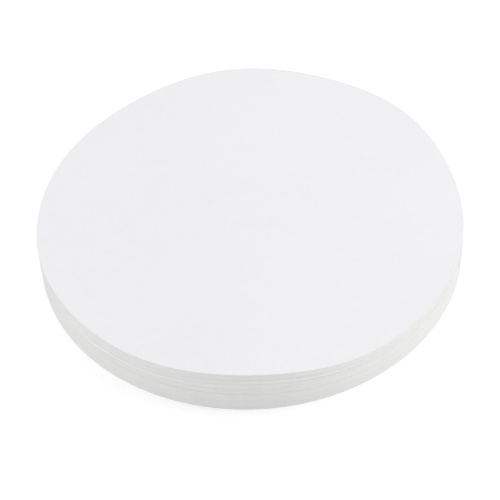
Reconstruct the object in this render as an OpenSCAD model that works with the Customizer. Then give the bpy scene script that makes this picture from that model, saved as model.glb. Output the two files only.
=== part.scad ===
// Stack of round filter papers.
//
// Each disc is one flat, closed solid, die-cut from soft filter paper.
// The discs lie loosely on each other with a little air between them.
// The stack was put together by the handful and then squared up, so the discs
// of its middle part, and less so of its upper part, lie a little out of line,
// one handful against the next. Its lower part is neat.
// The origin is at the centre of the stack's underside, with +Z up.

/* [Disc] */
// Diameter of one disc
disc_d = 180; // [40:1:320]
// Thickness of the paper
paper_t = 0.15; // [0.1:0.01:0.5]

/* [Stack] */
// Discs in the neat lower part, above the bottom disc
lower_count = 43; // [1:1:80]
// Discs in the looser middle part
middle_count = 36; // [1:1:80]
// Discs in the upper part, below the top disc
upper_count = 19; // [1:1:80]
// Air between one disc and the next
air_gap = 0.04; // [0.01:0.01:0.2]

/* [Shuffle] */
// Furthest a disc lies out of line with the others of its handful
neat_shift = 0.02; // [0:0.01:1]
// Discs in a handful
handful = 6; // [1:1:20]
// Furthest a handful of the middle part lies off centre, front to back
loose_shift = 0.12; // [0:0.01:2]
// Furthest a handful of the middle part lies off centre, side to side
loose_side_shift = 0.06; // [0:0.01:2]
// Share of those two that the handfuls of the upper part reach
upper_share = 0.5; // [0:0.05:1]
// Number that picks another shuffle of the same stack
shuffle = 15; // [1:1:50]

/* [Hidden] */

// Height from one disc's underside to the next one's
pitch = paper_t + air_gap;

// Place in the pile of the first disc of each part, counted from 0 at the bottom
first_lower = 1;
first_middle = first_lower + lower_count;
first_upper = first_middle + middle_count;
top = first_upper + upper_count;

// Circles are true circles in the solids: this only smooths the preview
$fn = 180;

white_paper = [0.93, 0.93, 0.94];
edge_paper = [0.87, 0.87, 0.86];

// A repeatable number from -1 to 1 for place i, with another series for each k
function scatter(i, k) =
    let (spread = 437.585 * sin(127.1 * i + 311.7 * k + 74.7 * shuffle))
    2 * (spread - floor(spread)) - 1;

// One disc in its place in the pile, off centre by side and front
module disc(i, side, front) {
    translate([side, front, i * pitch])
        cylinder(h = paper_t, d = disc_d);
}

// count discs, from place first upwards. loose is 0 where the handfuls lie
// in line, and 1 where they lie furthest off centre.
module discs(first, count, loose) {
    for (i = [first : first + count - 1]) {
        hand = floor(i / handful);
        disc(
            i,
            neat_shift * scatter(i, 1) + loose * loose_side_shift * scatter(hand, 3),
            neat_shift * scatter(i, 2) + loose * loose_shift * scatter(hand, 4)
        );
    }
}

module top_disc() {
    color(white_paper) disc(top, 0, 0);
}

module upper_discs() {
    color(edge_paper) discs(first_upper, upper_count, upper_share);
}

module middle_discs() {
    color(edge_paper) discs(first_middle, middle_count, 1);
}

module lower_discs() {
    color(edge_paper) discs(first_lower, lower_count, 0);
}

module bottom_disc() {
    color(white_paper) disc(0, 0, 0);
}

top_disc();
upper_discs();
middle_discs();
lower_discs();
bottom_disc();
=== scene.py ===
"""Visual model of a stack of filter papers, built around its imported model.

The script is laid out as an add-on, and is run as a script. Every sheet of the stack is a closed
thin disc. One Geometry Nodes tree lays the whole pile, sheet on sheet, with a little air between
them that differs from place to place, so that the sheets never cut into each other. Each operator
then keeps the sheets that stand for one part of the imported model.
"""

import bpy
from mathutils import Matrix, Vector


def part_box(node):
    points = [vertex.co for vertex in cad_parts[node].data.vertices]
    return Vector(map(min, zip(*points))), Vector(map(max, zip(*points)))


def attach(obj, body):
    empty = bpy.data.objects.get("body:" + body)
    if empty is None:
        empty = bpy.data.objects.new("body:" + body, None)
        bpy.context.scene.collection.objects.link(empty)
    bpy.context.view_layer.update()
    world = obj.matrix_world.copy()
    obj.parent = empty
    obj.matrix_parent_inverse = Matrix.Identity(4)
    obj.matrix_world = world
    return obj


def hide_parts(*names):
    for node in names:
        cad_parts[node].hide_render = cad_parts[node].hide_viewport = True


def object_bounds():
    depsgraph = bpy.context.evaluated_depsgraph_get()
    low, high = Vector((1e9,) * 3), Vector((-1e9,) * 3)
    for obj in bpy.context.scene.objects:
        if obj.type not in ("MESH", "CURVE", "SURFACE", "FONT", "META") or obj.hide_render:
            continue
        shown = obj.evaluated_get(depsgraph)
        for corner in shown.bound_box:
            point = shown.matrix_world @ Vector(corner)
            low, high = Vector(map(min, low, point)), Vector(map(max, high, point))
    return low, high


bl_info = {
    "name": "Filter Paper Stack",
    "version": (1, 0, 0),
    "blender": (4, 5, 0),
    "location": "3D View > Sidebar > Filter Papers",
    "description": "Lays a stack of round filter papers and its studio around the packed model",
    "category": "Add Mesh",
}

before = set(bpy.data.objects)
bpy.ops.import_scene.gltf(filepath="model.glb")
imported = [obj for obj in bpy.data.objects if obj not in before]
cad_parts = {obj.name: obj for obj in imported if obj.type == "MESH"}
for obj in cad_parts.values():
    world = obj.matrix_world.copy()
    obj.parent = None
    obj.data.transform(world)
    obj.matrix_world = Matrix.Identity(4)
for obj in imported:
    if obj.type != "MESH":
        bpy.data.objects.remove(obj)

import math

import bmesh
import bpy
import numpy as np
from bpy.props import FloatProperty, FloatVectorProperty, IntProperty, PointerProperty
from mathutils import Matrix, Vector

BODY = "root"
CAD_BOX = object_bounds()

# The parts of the pile from the bottom up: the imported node, the piece that stands for it and its
# material slot.
PARTS = (
    ("bottom_disc", "bottom_sheet", "stacked_paper"),
    ("lower_discs", "lower_sheets", "stacked_paper"),
    ("middle_discs", "middle_sheets", "stacked_paper"),
    ("upper_discs", "upper_sheets", "stacked_paper"),
    ("top_disc", "top_sheet", "top_paper"),
)

CUT_EDGE = 1  # material index of a sheet's cut edge. Its faces have 0


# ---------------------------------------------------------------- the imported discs


def node_discs(node):
    """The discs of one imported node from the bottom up, each as (x, y, z, thickness).

    The discs are flat, so each has its points on just two levels.
    """
    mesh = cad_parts[node].data
    points = np.empty(len(mesh.vertices) * 3)
    mesh.vertices.foreach_get("co", points)
    points = points.reshape(-1, 3)
    levels = np.unique(np.round(points[:, 2], 6))
    discs = []
    for low, high in zip(levels[0::2], levels[1::2]):
        rim = points[np.abs(points[:, 2] - low) < 1e-5]
        x, y = (rim[:, :2].min(axis=0) + rim[:, :2].max(axis=0)) / 2
        discs.append((x, y, low, high - low))
    return discs


PILE = [(node, disc) for node, _, _ in PARTS for disc in node_discs(node)]
COUNT = len(PILE)
RADIUS = (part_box("top_disc")[1].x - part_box("top_disc")[0].x) / 2
THICKNESS = PILE[0][1][3]
AIR = PILE[1][1][2] - PILE[0][1][2] - THICKNESS


def sheet_range(node):
    """The first and last place in the pile of a node's sheets, counted from 0 at the bottom."""
    places = [place for place, (owner, _) in enumerate(PILE) if owner == node]
    return places[0], places[-1]


# ---------------------------------------------------------------- settings


class PaperShape(bpy.types.PropertyGroup):
    """Sizes of the sheets, and how the pile curls and loosens."""

    radius: FloatProperty(
        name="Radius", description="Radius of a sheet", default=RADIUS, unit="LENGTH"
    )
    thickness: FloatProperty(
        name="Thickness", description="Thickness of the paper", default=THICKNESS, unit="LENGTH"
    )
    air: FloatProperty(
        name="Air", description="Mean air between two sheets", default=AIR, unit="LENGTH"
    )
    least_air: FloatProperty(
        name="Least Air",
        description="Share of the mean air that is left where the rim lies lowest",
        default=0.3,
        min=0.05,
        max=1.0,
    )
    centre_rise: FloatProperty(
        name="Centre Rise",
        description="How far the top sheet's centre stands above the flat pile",
        default=0.0006,
        unit="LENGTH",
    )
    rim_fall: FloatProperty(
        name="Rim Fall",
        description="How far the top sheet's rim lies below its centre, on average",
        default=0.00086,
        unit="LENGTH",
    )
    curl: FloatProperty(
        name="Curl",
        description="How far the rim rises on two sides and falls on the other two",
        default=0.00228,
        unit="LENGTH",
    )
    curl_turn: FloatProperty(
        name="Curl Turn",
        description="Direction in which the rim rises",
        default=math.radians(70.4),
        subtype="ANGLE",
    )
    sway: FloatProperty(
        name="Sway",
        description="Height of the five smaller waves around the rim",
        default=0.00046,
        unit="LENGTH",
    )
    sway_turn: FloatProperty(
        name="Sway Turn",
        description="Direction of the first of the five waves",
        default=math.radians(-29.7),
        subtype="ANGLE",
    )
    ripple: FloatProperty(
        name="Ripple",
        description="Height of the six smaller waves around the rim",
        default=0.00074,
        unit="LENGTH",
    )
    ripple_turn: FloatProperty(
        name="Ripple Turn",
        description="Direction of the first of the six waves",
        default=math.radians(-27.4),
        subtype="ANGLE",
    )
    gap_spread: FloatProperty(
        name="Gap Spread",
        description="Distance over which a gap between two sheets opens and closes",
        default=0.065,
        unit="LENGTH",
    )
    gap_contrast: FloatProperty(
        name="Gap Contrast",
        description="How unlike the gaps are: 0 makes them all equal",
        default=1.6,
        min=0.0,
        max=8.0,
    )
    rim_wander: FloatProperty(
        name="Rim Wander",
        description="How far a cut rim strays from a true circle",
        default=0.00003,
        unit="LENGTH",
    )
    rim_detail: IntProperty(
        name="Rim Detail",
        description="Each step doubles the points around a sheet's rim",
        default=4,
        min=2,
        max=5,
    )
    seed: IntProperty(name="Seed", description="Picks another arrangement of gaps", default=4)


class PaperColours(bpy.types.PropertyGroup):
    """Colours of the paper and the studio."""

    face: FloatVectorProperty(
        name="Face",
        description="Colour of the paper's faces",
        default=(0.787, 0.787, 0.802),
        size=3,
        subtype="COLOR",
    )
    # The cut edges' colour is the paper's own, made a little darker than the faces' as painted
    # shade on the side of the stack.
    edge: FloatVectorProperty(
        name="Cut Edge",
        description="Colour of the cut edges",
        default=(0.754, 0.750, 0.738),
        size=3,
        subtype="COLOR",
    )
    floor: FloatVectorProperty(
        name="Floor",
        description="Colour of the floor",
        default=(0.96, 0.96, 0.96),
        size=3,
        subtype="COLOR",
    )


class StudioSettings(bpy.types.PropertyGroup):
    """Camera and lights."""

    distance: FloatProperty(
        name="Distance", description="Camera to its aim point", default=0.70, unit="LENGTH"
    )
    elevation: FloatProperty(
        name="Elevation",
        description="How steeply the camera looks down",
        default=math.radians(47.01),
        subtype="ANGLE",
    )
    roll: FloatProperty(
        name="Roll",
        description="How far the camera leans to one side",
        default=math.radians(2.99),
        subtype="ANGLE",
    )
    aim: FloatVectorProperty(
        name="Aim",
        description="Point the camera looks at",
        default=(-0.00054, -0.0131, 0.0095),
        size=3,
        subtype="TRANSLATION",
    )
    focal_length: FloatProperty(
        name="Focal Length", description="Lens in millimetres", default=119.9, min=20.0
    )
    sky: FloatProperty(
        name="Sky", description="Strength of the even light from all sides", default=0.81, min=0.0
    )
    glow: FloatProperty(
        name="Floor Glow", description="Light that the floor itself gives off", default=0.12, min=0
    )
    right: FloatProperty(
        name="Right Light", description="Power of the light on the right", default=4.3, unit="POWER"
    )
    left: FloatProperty(
        name="Left Light", description="Power of the light on the left", default=2.7, unit="POWER"
    )
    front: FloatProperty(
        name="Front Light", description="Power of the light in front", default=0.9, unit="POWER"
    )


# ---------------------------------------------------------------- nodes written as expressions


class Value:
    """One output of a node. Sums and products of values add their own Math nodes."""

    def __init__(self, nodes, socket):
        self.nodes = nodes
        self.socket = socket

    def __add__(self, other):
        return self.nodes.maths("ADD", self, other)

    def __radd__(self, other):
        return self.nodes.maths("ADD", other, self)

    def __sub__(self, other):
        return self.nodes.maths("SUBTRACT", self, other)

    def __rsub__(self, other):
        return self.nodes.maths("SUBTRACT", other, self)

    def __mul__(self, other):
        return self.nodes.maths("MULTIPLY", self, other)

    def __rmul__(self, other):
        return self.nodes.maths("MULTIPLY", other, self)

    def __truediv__(self, other):
        return self.nodes.maths("DIVIDE", self, other)

    def __rtruediv__(self, other):
        return self.nodes.maths("DIVIDE", other, self)

    def __pow__(self, other):
        return self.nodes.maths("POWER", self, other)

    def __mod__(self, other):
        return self.nodes.maths("FLOORED_MODULO", self, other)


class Nodes:
    """Adds nodes to a tree: settings come first, then the values or links of the inputs."""

    def __init__(self, tree):
        self.tree = tree

    def add(self, kind, settings=None, inputs=None):
        """A new node. inputs maps input names or numbers to numbers, Values or data-blocks."""
        node = self.tree.nodes.new(kind)
        for name, setting in (settings or {}).items():
            setattr(node, name, setting)
        for name, value in (inputs or {}).items():
            self._feed(self._input(node, name), value)
        return node

    def outputs(self, kind, settings=None, inputs=None):
        """The outputs of a new node by name, as Values."""
        node = self.add(kind, settings, inputs)
        return {s.name: Value(self, s) for s in node.outputs if s.enabled}

    def value(self, kind, settings=None, inputs=None, output=None):
        """One output of a new node as a Value: the first one, if no name is given."""
        found = self.outputs(kind, settings, inputs)
        return found[output] if output else next(iter(found.values()))

    def maths(self, operation, *terms):
        """A Math node on one to three terms."""
        return self.value("ShaderNodeMath", {"operation": operation}, dict(enumerate(terms)))

    def clamp(self, value, low=0.0, high=1.0):
        """value, kept between low and high."""
        return self.value("ShaderNodeClamp", None, {"Value": value, "Min": low, "Max": high})

    def smooth(self, value, low, high):
        """0 below low, 1 above high and a smooth step between them."""
        return self.value(
            "ShaderNodeMapRange",
            {"interpolation_type": "SMOOTHSTEP"},
            {"Value": value, "From Min": low, "From Max": high, "To Min": 0.0, "To Max": 1.0},
        )

    def link(self, value, socket):
        """Feeds an input socket from a Value."""
        self.tree.links.new(value.socket, socket)

    @staticmethod
    def _input(node, name):
        if isinstance(name, int):
            return node.inputs[name]
        return next(s for s in node.inputs if s.enabled and s.name == name)

    def _feed(self, socket, value):
        if isinstance(value, Value):
            self.tree.links.new(value.socket, socket)
        else:
            socket.default_value = value


# ---------------------------------------------------------------- one flat sheet


RINGS = 9  # steps from a sheet's rim to its centre
CROWDING = 1.5  # above 1, the rings lie closer together near the rim
LEAST_RING_POINTS = 16  # a ring with so few isn't halved again
ROUNDED_BAND = 6  # how far inside a rounded rim the next ring lies, in roundings


def ring_radii(radius, rounding):
    """Radii of the rings from the rim inwards."""
    radii = [radius * (1.0 - (step / RINGS) ** CROWDING) for step in range(1, RINGS)]
    if rounding > 0:
        return [radius - rounding, radius - ROUNDED_BAND * rounding, *radii]
    return [radius, *radii]


def ring_counts(radii, rim_points):
    """Points on each ring: half as many on the second one, and halved again as the rings shrink."""
    counts = [rim_points, rim_points // 2]
    for radius in radii[2:]:
        crowded = radius / radii[0] < counts[-1] / rim_points
        halve = crowded and counts[-1] > LEAST_RING_POINTS
        counts.append(counts[-1] // 2 if halve else counts[-1])
    return counts


def join_rings(bm, outer, inner):
    """Faces between two rings with equal points, or twice as many on the outer one."""
    ratio = len(outer) // len(inner)
    for k, a in enumerate(inner):
        arc = [outer[(k * ratio + step) % len(outer)] for step in range(ratio + 1)]
        bm.faces.new((*arc, inner[(k + 1) % len(inner)], a))


def flat_sheet(name, radius, thickness, rim_points, rounding):
    """A closed flat disc from z = 0 up to its thickness. The rim's corners can be rounded."""
    bm = bmesh.new()

    def ring(r, z, count):
        turn = 2 * math.pi / count
        return [
            bm.verts.new((r * math.cos(k * turn), r * math.sin(k * turn), z)) for k in range(count)
        ]

    radii = ring_radii(radius, rounding)
    rims = []
    for z in (0.0, thickness):
        rings = [ring(r, z, count) for r, count in zip(radii, ring_counts(radii, rim_points))]
        for outer, inner in zip(rings, rings[1:]):
            join_rings(bm, outer, inner)
        centre, last = bm.verts.new((0.0, 0.0, z)), rings[-1]
        for a, b in zip(last, last[1:] + last[:1]):
            bm.faces.new((a, b, centre))
        rims.append(rings[0])

    if rounding > 0:
        rims[1:1] = [ring(radius, z, rim_points) for z in (rounding, thickness - rounding)]
    for lower, upper in zip(rims, rims[1:]):
        for k in range(rim_points):
            after = (k + 1) % rim_points
            wall = bm.faces.new((lower[k], lower[after], upper[after], upper[k]))
            wall.material_index = CUT_EDGE

    # Only triangles, so that every sheet of the pile bends along the same lines.
    bmesh.ops.triangulate(bm, faces=bm.faces)
    bmesh.ops.recalc_face_normals(bm, faces=bm.faces)
    for face in bm.faces:
        face.smooth = True
    for edge in bm.edges:
        a, b = edge.link_faces
        edge.smooth = rounding > 0 or a.material_index == b.material_index
    mesh = bpy.data.meshes.new(name)
    bm.to_mesh(mesh)
    bm.free()
    cut = mesh.attributes.new("cut_edge", "BOOLEAN", "FACE")
    cut.data.foreach_set("value", [face.material_index == CUT_EDGE for face in mesh.polygons])
    return bpy.data.objects.new(name, mesh)


# ---------------------------------------------------------------- the pile


WAVES = (("Curl", 2), ("Sway", 5), ("Ripple", 6))  # waves around the rim, and how many

# The pile's sizes, each with a setting of the same name.
PILE_SIZES = (
    "Radius",
    "Thickness",
    "Air",
    "Least Air",
    "Centre Rise",
    "Rim Fall",
    *(name + part for name, _ in WAVES for part in ("", " Turn")),
    "Gap Spread",
    "Gap Contrast",
    "Rim Wander",
)
PILE_INPUTS = (
    ("Geometry", "NodeSocketGeometry"),
    ("Flat Sheet", "NodeSocketObject"),
    ("First Sheet", "NodeSocketInt"),
    ("Last Sheet", "NodeSocketInt"),
    ("Sheets", "NodeSocketInt"),
    ("Seed", "NodeSocketInt"),
    ("Face Material", "NodeSocketMaterial"),
    ("Edge Material", "NodeSocketMaterial"),
    *((name, "NodeSocketFloat") for name in PILE_SIZES),
)

# The middle part of the pile is the loose one. Heights in the pile are shares of its sheets.
LOOSE_FROM, LOOSE_TO = (place / COUNT for place in sheet_range("middle_discs"))
LOOSE_BLEND = 0.1  # the pile loosens and tightens over this much on either side

# Steps through the noise that keep one sheet's gap, seed or cut unlike the next one's.
GAP_STEP, SEED_STEP, CUT_STEP = 7.31, 113.0, 3.17

WANDER_LENGTH = 0.007  # length of a stray in the cut
WANDER_FROM, WANDER_TO = 0.99, 0.998  # shares of the radius between which the stray fades in


def pile_tree():
    """The tree that lays the pile on points in the z = 0 plane, and keeps some of its sheets."""
    tree = bpy.data.node_groups.new("paper_pile", "GeometryNodeTree")
    for name, kind in PILE_INPUTS:
        tree.interface.new_socket(name, in_out="INPUT", socket_type=kind)
    tree.interface.new_socket("Geometry", in_out="OUTPUT", socket_type="NodeSocketGeometry")
    nodes = Nodes(tree)
    size = nodes.outputs("NodeGroupInput")

    def stored(geometry, name, value):
        return nodes.value(
            "GeometryNodeStoreNamedAttribute",
            {"data_type": "FLOAT", "domain": "POINT"},
            {"Geometry": geometry, "Name": name, "Value": value},
        )

    def named(name, data_type):
        return nodes.value(
            "GeometryNodeInputNamedAttribute", {"data_type": data_type}, {"Name": name}
        )

    def smooth_noise(vector, order, length, detail):
        return nodes.value(
            "ShaderNodeTexNoise",
            {"noise_dimensions": "4D"},
            {"Vector": vector, "W": order, "Scale": 1.0 / length, "Detail": detail},
        )

    # A copy of the flat sheet for each point, with its place in the pile and a tone of its own.
    index = nodes.value("GeometryNodeInputIndex")
    tone = nodes.value(
        "FunctionNodeRandomValue", {"data_type": "FLOAT"}, {"Min": 0.0, "Max": 1.0}
    )
    points = stored(stored(size["Geometry"], "sheet", index), "tone", tone)
    flat_mesh = nodes.value(
        "GeometryNodeObjectInfo", None, {"Object": size["Flat Sheet"]}, output="Geometry"
    )
    laid = nodes.value(
        "GeometryNodeInstanceOnPoints", None, {"Points": points, "Instance": flat_mesh}
    )
    real = nodes.value("GeometryNodeRealizeInstances", None, {"Geometry": laid})

    place = nodes.value("GeometryNodeInputPosition")
    x, y, own_height = nodes.outputs("ShaderNodeSeparateXYZ", None, {"Vector": place}).values()
    flat_place = nodes.value("ShaderNodeCombineXYZ", None, {"X": x, "Y": y})
    sheet = named("sheet", "FLOAT")
    level = sheet / size["Sheets"]

    # All the air in the pile at this place: the mean air and the top sheet's waves, but never less
    # than a share of the mean air.
    share_of_radius = nodes.maths("SQRT", x * x + y * y) / size["Radius"]
    angle = nodes.maths("ARCTAN2", y, x)
    rise = size["Centre Rise"] - size["Rim Fall"] * share_of_radius**2.0
    for name, count in WAVES:
        crest = nodes.maths("COSINE", (angle - size[name + " Turn"]) * count)
        rise = rise + size[name] * crest * share_of_radius**count
    mean_air = size["Air"] * size["Sheets"]
    least_air = mean_air * size["Least Air"]
    air = nodes.maths("SMOOTH_MAX", mean_air + rise, least_air, least_air)

    # Each gap takes its own share of the air. In the loose part of the pile the shares differ.
    order = sheet * GAP_STEP + size["Seed"] * SEED_STEP
    gap_noise = smooth_noise(flat_place, order, size["Gap Spread"], detail=0.0)
    loosened = nodes.smooth(level, LOOSE_FROM - LOOSE_BLEND, LOOSE_FROM + LOOSE_BLEND)
    tightened = nodes.smooth(level, LOOSE_TO - LOOSE_BLEND, LOOSE_TO + LOOSE_BLEND)
    looseness = loosened - tightened
    weight = 1.0 + looseness * ((gap_noise * 2.0) ** size["Gap Contrast"] - 1.0)
    sheet_points = nodes.value(
        "GeometryNodeAttributeDomainSize",
        {"component": "MESH"},
        {"Geometry": flat_mesh},
        output="Point Count",
    )
    sums = nodes.outputs(
        "GeometryNodeAccumulateField",
        {"data_type": "FLOAT", "domain": "POINT"},
        {"Value": weight, "Group ID": index % sheet_points},
    )
    air_below = air * sums["Trailing"] / sums["Total"]
    height = own_height + sheet * size["Thickness"] + air_below

    # The blade strays a little, and differently on each sheet.
    stray = smooth_noise(place, sheet * CUT_STEP, WANDER_LENGTH, detail=1.0)
    at_rim = nodes.smooth(share_of_radius, WANDER_FROM, WANDER_TO)
    outward = 1.0 + (stray - 0.5) * 2.0 * size["Rim Wander"] / size["Radius"] * at_rim
    moved = nodes.value(
        "ShaderNodeCombineXYZ", None, {"X": x * outward, "Y": y * outward, "Z": height}
    )
    shaped = nodes.value("GeometryNodeSetPosition", None, {"Geometry": real, "Position": moved})

    below = nodes.maths("LESS_THAN", sheet, size["First Sheet"] - 0.5)
    above = nodes.maths("GREATER_THAN", sheet, size["Last Sheet"] + 0.5)
    kept = nodes.value(
        "GeometryNodeDeleteGeometry",
        {"domain": "POINT"},
        {"Geometry": shaped, "Selection": below + above},
    )
    single = nodes.value("GeometryNodeRealizeInstances", None, {"Geometry": kept})
    faced = nodes.value(
        "GeometryNodeSetMaterial", None, {"Geometry": single, "Material": size["Face Material"]}
    )
    edged = nodes.value(
        "GeometryNodeSetMaterial",
        None,
        {
            "Geometry": faced,
            "Selection": named("cut_edge", "BOOLEAN"),
            "Material": size["Edge Material"],
        },
    )
    nodes.add("NodeGroupOutput", None, {"Geometry": edged})
    return tree


def pile_points():
    """A mesh with one point for each sheet, bottom sheet first, at its place in the plane."""
    mesh = bpy.data.meshes.new("pile_points")
    mesh.from_pydata([(x, y, 0.0) for _, (x, y, _, _) in PILE], [], [])
    return mesh


def lay_sheets(context, node, name, rounding):
    """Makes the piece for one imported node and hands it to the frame."""
    shape = context.scene.paper_shape
    tree = bpy.data.node_groups.get("paper_pile") or pile_tree()
    rim_points = LEAST_RING_POINTS * 2**shape.rim_detail
    sheet = flat_sheet(name + "_flat", shape.radius, shape.thickness, rim_points, rounding)
    points = bpy.data.objects.new(name + "_points", pile_points())
    for helper in (sheet, points):
        context.scene.collection.objects.link(helper)
    paper, cut = face_material(), edge_material()
    for material in (paper, cut):
        sheet.data.materials.append(material)

    first, last = sheet_range(node)
    values = {
        "Flat Sheet": sheet,
        "First Sheet": first,
        "Last Sheet": last,
        "Sheets": COUNT,
        "Seed": shape.seed,
        "Face Material": paper,
        "Edge Material": cut,
    }
    values |= {size: getattr(shape, size.lower().replace(" ", "_")) for size in PILE_SIZES}
    modifier = points.modifiers.new("paper_pile", "NODES")
    modifier.node_group = tree
    for socket in tree.interface.items_tree:
        if socket.in_out == "INPUT" and socket.name in values:
            modifier[socket.identifier] = values[socket.name]

    evaluated = points.evaluated_get(context.evaluated_depsgraph_get())
    mesh = bpy.data.meshes.new_from_object(evaluated)
    if not mesh.polygons:
        raise RuntimeError(f"the pile tree made no faces for {name}")
    piece = bpy.data.objects.new(name, mesh)
    context.scene.collection.objects.link(piece)
    for helper in (sheet, points):
        bpy.data.objects.remove(helper)

    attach(piece, BODY)
    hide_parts(node)
    return piece


# ---------------------------------------------------------------- materials


def paper_base(name, colour, roughness):
    """A new material with a Principled shader, and a Nodes for its tree."""
    material = bpy.data.materials.new(name)
    material.use_nodes = True
    nodes = Nodes(material.node_tree)
    shader = material.node_tree.nodes["Principled BSDF"]
    shader.inputs["Base Color"].default_value = (*colour, 1.0)
    shader.inputs["Roughness"].default_value = roughness
    shader.inputs["Specular IOR Level"].default_value = 0.25
    shader.inputs["Sheen Weight"].default_value = 0.08
    shader.inputs["Sheen Roughness"].default_value = 0.6
    return material, nodes, shader


def millimetres(nodes, turn=0.0, stretch=(1.0, 1.0, 1.0)):
    """Object coordinates in millimetres, turned about Z and divided by stretch."""
    place = nodes.value("ShaderNodeTexCoord", output="Object")
    return nodes.value(
        "ShaderNodeMapping",
        {"vector_type": "TEXTURE"},
        {
            "Vector": place,
            "Rotation": (0.0, 0.0, turn),
            "Scale": tuple(0.001 * s for s in stretch),
        },
        output="Vector",
    )


def noise(nodes, place, size, detail=2.0, roughness=0.5):
    """Smooth noise from 0 to 1 with features of about size, in the units of place."""
    return nodes.value(
        "ShaderNodeTexNoise",
        {"noise_dimensions": "3D"},
        {"Vector": place, "Scale": 1.0 / size, "Detail": detail, "Roughness": roughness},
    )


def tinted(nodes, colour, amount):
    """colour times amount, which is about 1."""
    return nodes.value(
        "ShaderNodeVectorMath",
        {"operation": "SCALE"},
        {"Vector": colour, "Scale": amount},
        output="Vector",
    )


def roughened(nodes, shader, relief, strength):
    """Bumps the shader's surface by relief, in millimetres."""
    bump = nodes.value(
        "ShaderNodeBump", None, {"Height": relief, "Strength": strength, "Distance": 0.001}
    )
    nodes.link(bump, shader.inputs["Normal"])


WIRE_PITCH = 0.55  # millimetres from wire to wire of the mould the paper is formed on
WIRE_TURNS = (38, -52)  # degrees, the two directions of the wires
FIBRE_TURNS = [0.3 + math.radians(60 * k) for k in range(3)]  # directions of the fibres
BANDS_PER_UNIT = 10.0 / math.pi  # bands that a Wave Texture of scale 1 draws in each unit


def face_material():
    """Soft cotton paper: felted fibres, a faint wire mark and a cloudy formation."""
    found = bpy.data.materials.get("paper_face")
    if found:
        return found
    colour = tuple(bpy.context.scene.paper_colours.face)
    material, nodes, shader = paper_base("paper_face", colour, roughness=0.9)

    # Fibres lie in all directions, so three stretched noises are turned against each other.
    fibres = None
    for turn in FIBRE_TURNS:
        place = millimetres(nodes, turn, stretch=(1.1, 0.12, 1.0))
        layer = noise(nodes, place, 1.0, detail=1.0)
        fibres = nodes.maths("MAXIMUM", fibres, layer) if fibres else layer

    flat = millimetres(nodes)
    cloud = noise(nodes, flat, 5.0, detail=3.0, roughness=0.55)
    drift = noise(nodes, flat, 38.0, detail=1.0)

    wires = [
        nodes.value(
            "ShaderNodeTexWave",
            {"wave_type": "BANDS", "bands_direction": "X", "wave_profile": "SIN"},
            {
                "Vector": millimetres(nodes, turn=math.radians(turn)),
                "Scale": 1.0 / (BANDS_PER_UNIT * WIRE_PITCH),
                "Distortion": 0.6,
                "Detail": 1.0,
            },
            output="Fac",
        )
        for turn in WIRE_TURNS
    ]

    # The formation and the fibres change the paper's tone by a few hundredths.
    tone = 1.0 + (cloud - 0.5) * 0.030 + (drift - 0.5) * 0.020 + (fibres - 0.6) * 0.035
    nodes.link(tinted(nodes, colour, tone), shader.inputs["Base Color"])
    nodes.link(nodes.clamp(0.86 + (fibres - 0.5) * 0.2), shader.inputs["Roughness"])
    relief = fibres * 0.018 + cloud * 0.03 + (wires[0] + wires[1]) * 0.004
    roughened(nodes, shader, relief, strength=0.5)
    return material


def edge_material():
    """The cut edge: rough fibre ends, and faint marks down the pile from nicks in the blade."""
    found = bpy.data.materials.get("paper_cut_edge")
    if found:
        return found
    # The edge colour is a little darker than the faces' colour: painted shade on the side of the
    # stack, on top of the paper's own tone.
    colour = tuple(bpy.context.scene.paper_colours.edge)
    material, nodes, shader = paper_base("paper_cut_edge", colour, roughness=0.95)

    own_tone = nodes.value("ShaderNodeAttribute", {"attribute_name": "tone"}, output="Fac")
    marks = noise(nodes, millimetres(nodes, stretch=(1.0, 1.0, 40.0)), 1.6)
    ends = noise(nodes, millimetres(nodes), 0.25)
    tone = 1.0 + (own_tone - 0.5) * 0.04 + (marks - 0.5) * 0.03 + (ends - 0.5) * 0.05
    nodes.link(tinted(nodes, colour, tone), shader.inputs["Base Color"])
    roughened(nodes, shader, ends * 0.03 + marks * 0.02, strength=0.4)
    return material


def floor_material():
    """A plain pale floor, which gives off a little light so that shadows on it stay faint."""
    material, _, shader = paper_base("studio_floor", bpy.context.scene.paper_colours.floor, 0.8)
    shader.inputs["Sheen Weight"].default_value = 0.0
    shader.inputs["Specular IOR Level"].default_value = 0.1
    shader.inputs["Emission Color"].default_value = (1.0, 1.0, 1.0, 1.0)
    shader.inputs["Emission Strength"].default_value = bpy.context.scene.paper_studio.glow
    return material


# ---------------------------------------------------------------- the studio


FLOOR_HALF_WIDTH = 4.0

# The lights: the setting with their power, and their azimuth in degrees. 0 is behind the stack and
# 90 to its right.
LIGHTS = (("right", 80), ("front", 180), ("left", 280))
LIGHT_ELEVATION = math.radians(30)
LIGHT_DISTANCE = 1.1
LIGHT_SIZE = (0.9, 0.6)


def add_floor(context):
    """A large square floor under the stack."""
    mesh = bpy.data.meshes.new("floor")
    corners = [(-1, -1), (1, -1), (1, 1), (-1, 1)]
    points = [(x * FLOOR_HALF_WIDTH, y * FLOOR_HALF_WIDTH, CAD_BOX[0][2]) for x, y in corners]
    mesh.from_pydata(points, [], [(0, 1, 2, 3)])
    mesh.materials.append(floor_material())
    floor = bpy.data.objects.new("floor", mesh)
    context.scene.collection.objects.link(floor)


def add_softbox(context, name, azimuth, power):
    """A rectangular light that looks at the middle of the stack."""
    light = bpy.data.lights.new(name, "AREA")
    light.shape = "RECTANGLE"
    light.size, light.size_y = LIGHT_SIZE
    light.energy = power
    box = bpy.data.objects.new(name, light)
    flat, upward = math.cos(LIGHT_ELEVATION), math.sin(LIGHT_ELEVATION)
    offset = Vector((flat * math.sin(azimuth), flat * math.cos(azimuth), upward))
    box.location = Vector((0.0, 0.0, CAD_BOX[1][2] / 2)) + offset * LIGHT_DISTANCE
    box.rotation_euler = offset.to_track_quat("Z", "Y").to_euler()
    context.scene.collection.objects.link(box)


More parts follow.
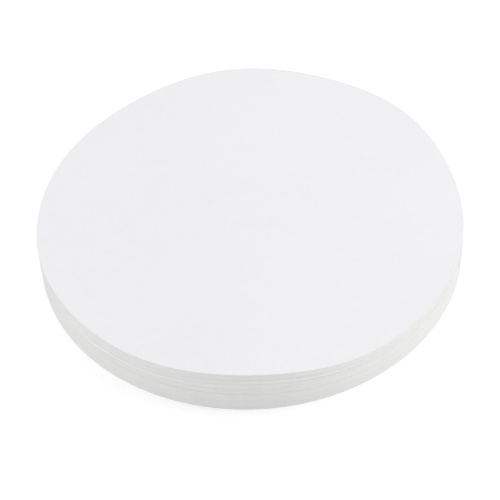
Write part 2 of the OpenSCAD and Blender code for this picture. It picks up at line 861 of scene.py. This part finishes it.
def add_sky(context):
    """Even white light from all sides."""
    world = bpy.data.worlds.new("studio")
    world.use_nodes = True
    sky = world.node_tree.nodes["Background"]
    sky.inputs["Color"].default_value = (1.0, 1.0, 1.0, 1.0)
    sky.inputs["Strength"].default_value = context.scene.paper_studio.sky
    context.scene.world = world


def add_camera(context):
    """The camera in front of the stack, looking down on it with a slight lean."""
    studio = context.scene.paper_studio
    data = bpy.data.cameras.new("camera")
    data.sensor_width = 36.0
    data.lens = studio.focal_length
    data.clip_start = 0.01
    data.clip_end = 50.0
    camera = bpy.data.objects.new("camera", data)
    sine, cosine = math.sin(studio.elevation), math.cos(studio.elevation)
    back = Vector((0.0, -cosine, sine))
    up = Vector((0.0, sine, cosine))
    right = Vector((1.0, 0.0, 0.0))
    lean, level = math.sin(studio.roll), math.cos(studio.roll)
    axes = Matrix((right * level - up * lean, right * lean + up * level, back)).transposed()
    camera.matrix_world = Matrix.Translation(
        Vector(studio.aim) + back * studio.distance
    ) @ axes.to_4x4()
    context.scene.collection.objects.link(camera)
    context.scene.camera = camera


# ---------------------------------------------------------------- operators


class PaperOperator:
    """What the operators that lay sheets share: the part they lay and the rim's rounding."""

    bl_options = {"REGISTER", "UNDO"}
    part = 0
    rounding = 0.0

    def execute(self, context):
        node, name, slot = PARTS[self.part]
        lay_sheets(context, node, name, self.rounding)
        return {"FINISHED"}


class PAPER_OT_bottom_sheet(PaperOperator, bpy.types.Operator):
    """Lays the bottom sheet, which the stack stands on"""

    bl_idname = "paper.bottom_sheet"
    bl_label = "Bottom Sheet"
    part = 0


class PAPER_OT_lower_sheets(PaperOperator, bpy.types.Operator):
    """Lays the neat lower part of the pile"""

    bl_idname = "paper.lower_sheets"
    bl_label = "Lower Sheets"
    part = 1


class PAPER_OT_middle_sheets(PaperOperator, bpy.types.Operator):
    """Lays the looser middle part of the pile, where handfuls of sheets lie out of line"""

    bl_idname = "paper.middle_sheets"
    bl_label = "Middle Sheets"
    part = 2


class PAPER_OT_upper_sheets(PaperOperator, bpy.types.Operator):
    """Lays the upper part of the pile, which is less loose than the middle"""

    bl_idname = "paper.upper_sheets"
    bl_label = "Upper Sheets"
    part = 3


class PAPER_OT_top_sheet(PaperOperator, bpy.types.Operator):
    """Lays the top sheet, whose whole face shows, with a softened rim"""

    bl_idname = "paper.top_sheet"
    bl_label = "Top Sheet"
    part = 4
    rounding = 0.00004


class PAPER_OT_stage(bpy.types.Operator):
    """Sets up the pale floor, the soft lights and the camera"""

    bl_idname = "paper.stage"
    bl_label = "Studio"
    bl_options = {"REGISTER", "UNDO"}

    def execute(self, context):
        add_floor(context)
        for side, azimuth in LIGHTS:
            power = getattr(context.scene.paper_studio, side)
            add_softbox(context, side + "_light", math.radians(azimuth), power)
        add_sky(context)
        context.scene.view_settings.view_transform = "Standard"
        add_camera(context)
        return {"FINISHED"}


OPERATORS = (
    PAPER_OT_bottom_sheet,
    PAPER_OT_lower_sheets,
    PAPER_OT_middle_sheets,
    PAPER_OT_upper_sheets,
    PAPER_OT_top_sheet,
    PAPER_OT_stage,
)


class PAPER_PT_panel(bpy.types.Panel):
    """Lists the settings and the steps, in order"""

    bl_label = "Filter Papers"
    bl_idname = "PAPER_PT_panel"
    bl_space_type = "VIEW_3D"
    bl_region_type = "UI"
    bl_category = "Filter Papers"

    def draw(self, context):
        layout = self.layout
        for operator in OPERATORS:
            layout.operator(operator.bl_idname)
        for group in ("paper_shape", "paper_colours", "paper_studio"):
            box = layout.box()
            settings = getattr(context.scene, group)
            for name in settings.__annotations__:
                box.prop(settings, name)


CLASSES = (PaperShape, PaperColours, StudioSettings, *OPERATORS, PAPER_PT_panel)


def register():
    for item in CLASSES:
        bpy.utils.register_class(item)
    bpy.types.Scene.paper_shape = PointerProperty(type=PaperShape)
    bpy.types.Scene.paper_colours = PointerProperty(type=PaperColours)
    bpy.types.Scene.paper_studio = PointerProperty(type=StudioSettings)


def unregister():
    del bpy.types.Scene.paper_studio
    del bpy.types.Scene.paper_colours
    del bpy.types.Scene.paper_shape
    for item in reversed(CLASSES):
        bpy.utils.unregister_class(item)


def main():
    """Registers the classes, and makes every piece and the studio."""
    register()
    for operator in OPERATORS:
        group, name = operator.bl_idname.split(".")
        getattr(getattr(bpy.ops, group), name)()


if __name__ == "__main__":
    main()
